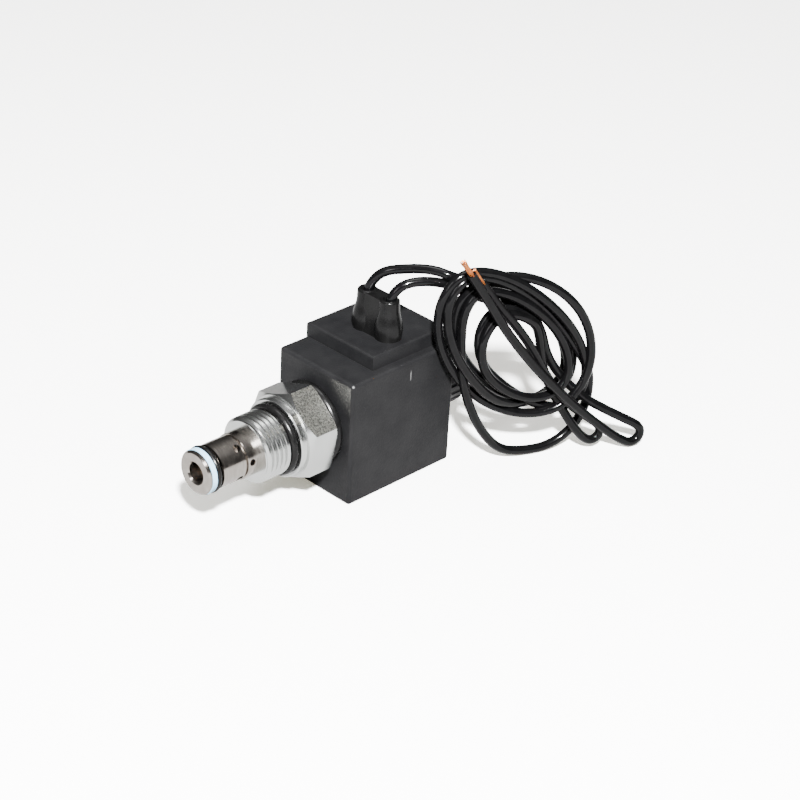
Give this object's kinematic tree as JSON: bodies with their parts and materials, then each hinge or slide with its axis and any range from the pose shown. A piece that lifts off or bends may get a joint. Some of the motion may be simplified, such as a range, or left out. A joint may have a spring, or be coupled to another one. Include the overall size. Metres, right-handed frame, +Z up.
{
  "type": "solenoid cartridge valve",
  "caption": "Screw-in hydraulic cartridge valve with a hex body, ported nose, black block coil, coil nut and long bare-ended leads gathered in a hank.",
  "frame": {"origin": "on the surface the coil stands on, under the middle of the valve without its leads", "axes": "+X along the cartridge from its nose to the coil nut; +Z up, out of the coil's leads side"},
  "size_m": [0.1317, 0.0618, 0.071],
  "materials": {
    "ground_steel": "turned and ground, slightly warm",
    "zinc_plate": "bright zinc plate",
    "spring_wire": "drawn wire",
    "rubber": "smooth, slightly oiled",
    "ptfe": "pale blue white, waxy",
    "coil_black": "satin moulded, fine texture",
    "nut_black": "satin",
    "boot_black": "smooth rubbery gloss",
    "lead_black": "glossy insulation",
    "copper": "bare copper",
    "terminal_brass": "tinned brass",
    "spool_nylon": "natural nylon",
    "tape": "winding tape"
  },
  "bodies": {
    "valve": {"bare_end_left": "copper", "bare_end_right": "copper", "bobbin": "spool_nylon", "body_o_ring": "rubber", "cage": "ground_steel", "coil_body": "coil_black", "coil_front_seal": "rubber", "flux_frame": "zinc_plate", "guide_tube": "ground_steel", "hex_body": "zinc_plate", "lead_boot": "boot_black", "lead_hank": "lead_black", "lead_left": "lead_black", "lead_low_loop": "lead_black", "lead_right": "lead_black", "lead_tail_left": "lead_black", "lead_tail_right": "lead_black", "nose_backup_ring": "ptfe", "nose_o_ring": "rubber", "plunger_spring": "spring_wire", "pole_piece": "zinc_plate", "poppet_spring": "spring_wire", "terminal_left": "terminal_brass", "terminal_right": "terminal_brass", "winding": "copper", "winding_tape": "tape"},
    "plunger_set": {"plunger": "zinc_plate", "pilot_pin": "ground_steel"},
    "poppet": {"main_poppet": "ground_steel"},
    "nut_ring": {"nut_seal": "rubber"},
    "nut": {"coil_nut": "nut_black"}
  },
  "joints": [
    {"name": "plunger_slide", "type": "slide", "parent": "valve", "child": "plunger_set", "axis": [1, 0, 0], "range_m": [0, 0.00155], "stiffness_N_per_m": 2000, "springref_m": -0.003, "deforming": ["plunger_spring"]},
    {"name": "poppet_slide", "type": "slide", "parent": "valve", "child": "poppet", "axis": [1, 0, 0], "range_m": [0, 0.0012], "deforming": ["poppet_spring"]},
    {"name": "nut_travel", "type": "slide", "parent": "valve", "child": "nut_ring", "axis": [1, 0, 0], "range_m": [0, 0.00636]},
    {"name": "nut_turn", "type": "hinge", "parent": "nut_ring", "child": "nut", "pos_m": [0.041, 0, 0.0207], "axis": [1, 0, 0], "range_deg": [0, 1800]}
  ],
  "couplings": [
    {"joint": "poppet_slide", "follows": "plunger_slide", "ratio": 0.774},
    {"joint": "nut_travel", "follows": "nut_turn", "m_per_rad": 0.00020213}
  ]
}
